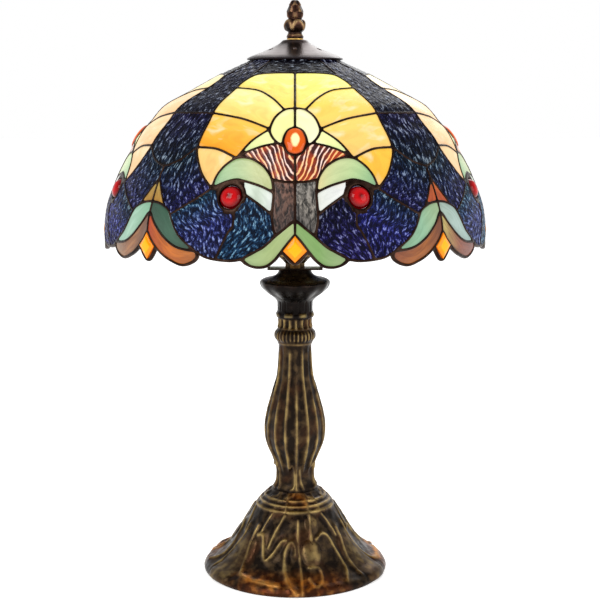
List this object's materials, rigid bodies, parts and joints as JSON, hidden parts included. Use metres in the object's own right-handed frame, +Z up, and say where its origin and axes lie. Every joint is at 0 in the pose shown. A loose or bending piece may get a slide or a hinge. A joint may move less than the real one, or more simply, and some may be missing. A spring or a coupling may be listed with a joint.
{
  "type": "leaded glass table lamp",
  "caption": "Table lamp with a domed leaded-glass shade of petal, fan and jewel panes on a bronzed urn column and bell foot, with harp, finial and screw-in bulb.",
  "frame": {"origin": "middle of the felt underside, on the table", "axes": "+Z up along the column; -Y the front, with the middle of one glass medallion; +Y the back, with the cord inlet; +X to the right seen from the front"},
  "size_m": [0.308, 0.308, 0.4653],
  "materials": {
    "bronze": "dark bronzed casting with gilt worn on the raised edges",
    "ballast_iron": "raw casting",
    "felt": "pressed felt",
    "zinc_steel": "zinc plated",
    "black_plastic": "moulded",
    "antique_brass": "aged brass",
    "card": "pressed fibre",
    "porcelain": "glazed",
    "bright_brass": "lacquered brass",
    "blue_glass": "rippled, deep blue with violet and teal",
    "cream_glass": "opalescent cream, lit from within",
    "honey_glass": "opalescent honey, lit from within",
    "lemon_glass": "opalescent pale yellow, lit from within",
    "streaky_glass": "red-brown with pink and amber streaks",
    "sage_glass": "opalescent sage",
    "pearl_glass": "iridescent white",
    "mauve_glass": "mottled grey-mauve",
    "amber_glass": "streaky brown and orange",
    "mint_glass": "opalescent mint with dark wisps",
    "amber_jewel": "pressed, clear amber",
    "ruby_jewel": "pressed, clear ruby",
    "solder": "solder with dark copper-brown patina",
    "cap_bronze": "spun metal with a brown-mauve patina",
    "finial_bronze": "cast, brown patina with worn edges",
    "bulb_frost": "frosted inside, lit",
    "bulb_metal": "rolled thread",
    "black_glass": "vitrite",
    "clear_glass": "clear",
    "tungsten": "glowing wire"
  },
  "bodies": {
    "stand": {"foot": "bronze", "ballast_plate": "ballast_iron", "felt_pad": "felt", "rod_washer": "zinc_steel", "rod_nut": "zinc_steel", "threaded_rod": "zinc_steel", "stem": "bronze", "urn": "bronze", "cord_bushing": "black_plastic", "harp_saddle": "antique_brass", "saddle_nut": "antique_brass", "socket_cap": "antique_brass", "socket_shell": "antique_brass", "socket_liner": "card", "socket_insulator": "porcelain", "screw_shell": "bright_brass", "centre_contact": "bright_brass", "terminal_screws": "bright_brass", "harp": "antique_brass"},
    "sleeve_left": {"harp_sleeve_left": "bright_brass"},
    "sleeve_right": {"harp_sleeve_right": "bright_brass"},
    "swivel": {"swivel_stud": "bright_brass"},
    "shade": {"shade_ring": "bright_brass", "shade_spider": "bright_brass", "glass_blue_upper": "blue_glass", "glass_blue_middle": "blue_glass", "glass_blue_lower": "blue_glass", "glass_blue_inner": "blue_glass", "glass_fan_upper": "cream_glass", "glass_fan_second": "cream_glass", "glass_fan_third": "honey_glass", "glass_fan_lower": "cream_glass", "glass_halo": "lemon_glass", "glass_spandrel": "lemon_glass", "glass_wing": "streaky_glass", "glass_arch": "sage_glass", "glass_pearl": "pearl_glass", "glass_trunk": "mauve_glass", "glass_leaf": "sage_glass", "glass_spear": "amber_glass", "glass_petal_green": "mint_glass", "glass_petal_amber": "amber_glass", "jewel_flame": "amber_jewel", "jewel_ruby": "ruby_jewel", "jewel_diamond": "amber_jewel", "seams_front": "solder", "seams_right": "solder", "seams_back": "solder", "seams_left": "solder"},
    "cap": {"top_cap": "cap_bronze", "cap_washer": "bright_brass"},
    "finial": {"finial": "finial_bronze"},
    "bulb": {"bulb_glass": "bulb_frost", "bulb_cap": "bulb_metal", "bulb_insulator": "black_glass", "bulb_contact": "bulb_metal", "filament_mount": "clear_glass", "filament": "tungsten"}
  },
  "joints": [
    {"name": "harp_swivel", "type": "hinge", "parent": "stand", "child": "swivel", "pos_m": [0, 0, 0.404], "axis": [0, 0, 1], "continuous": true},
    {"name": "shade_lift", "type": "slide", "parent": "swivel", "child": "shade", "axis": [0, 0, 1], "range_m": [0, 0.19]},
    {"name": "cap_lift", "type": "slide", "parent": "shade", "child": "cap", "axis": [0, 0, 1], "range_m": [0, 0.04]},
    {"name": "finial_turn", "type": "hinge", "parent": "cap", "child": "finial", "pos_m": [0, 0, 0.45], "axis": [0, 0, 1], "continuous": true},
    {"name": "bulb_turn", "type": "hinge", "parent": "stand", "child": "bulb", "pos_m": [0, 0, 0.3], "axis": [0, 0, 1], "continuous": true},
    {"name": "sleeve_left_slide", "type": "slide", "parent": "stand", "child": "sleeve_left", "axis": [0, 0, 1], "range_m": [0, 0.0095]},
    {"name": "sleeve_right_slide", "type": "slide", "parent": "stand", "child": "sleeve_right", "axis": [0, 0, 1], "range_m": [0, 0.0095]}
  ]
}
